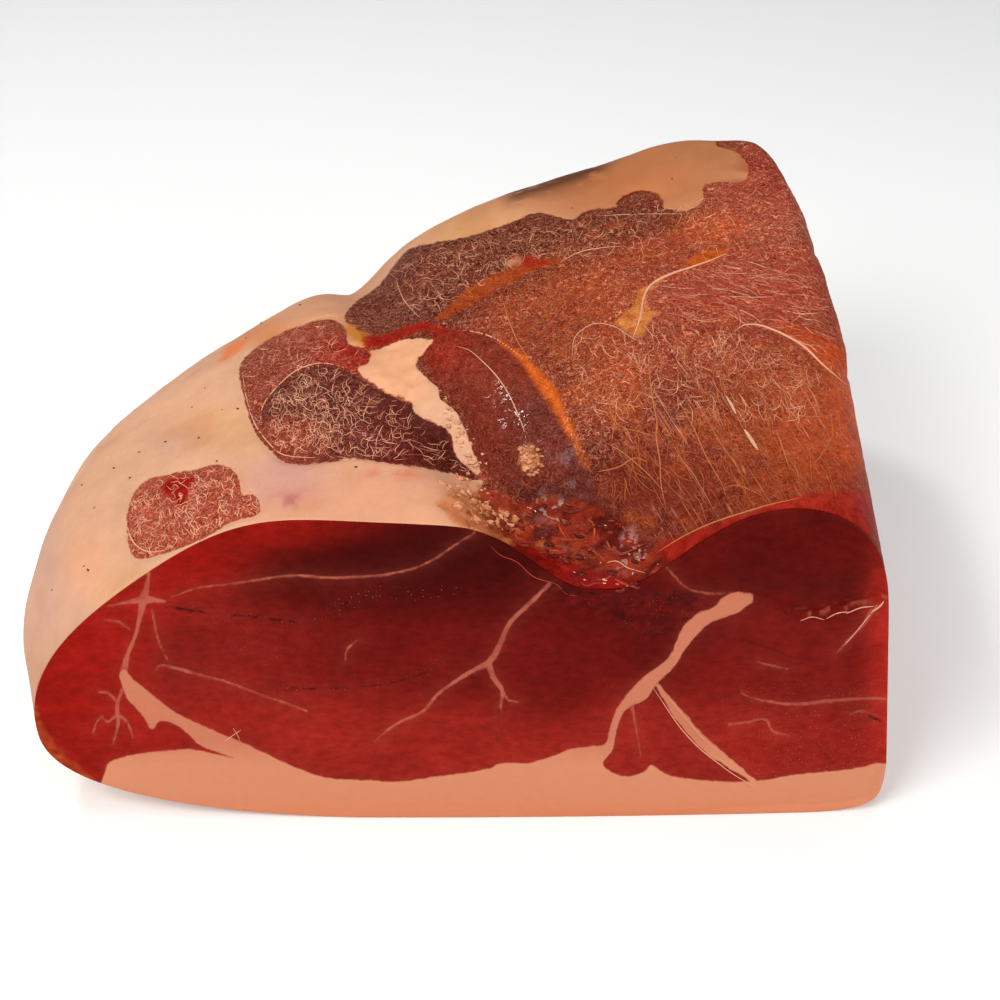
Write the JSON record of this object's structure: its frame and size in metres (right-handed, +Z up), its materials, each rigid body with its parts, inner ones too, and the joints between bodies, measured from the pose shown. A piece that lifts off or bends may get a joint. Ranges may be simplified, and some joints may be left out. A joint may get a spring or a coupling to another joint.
{
  "type": "cured ham, boned rump half",
  "caption": "Rump half of a boned, dry-cured ham with one flat cut across the front, lying on its fat.",
  "frame": {"origin": "middle of the bounding box at the base, where the ham rests", "axes": "+X to the right along the cut, +Y back from the cut towards the rump, +Z up"},
  "size_m": [0.2482, 0.2102, 0.1251],
  "materials": {
    "cured_meat": "dark red and amber lean with pale peach fat, moist on the cut and dry with a slight sheen on the rest"
  },
  "bodies": {
    "root": {"ham": "cured_meat"}
  },
  "joints": []
}
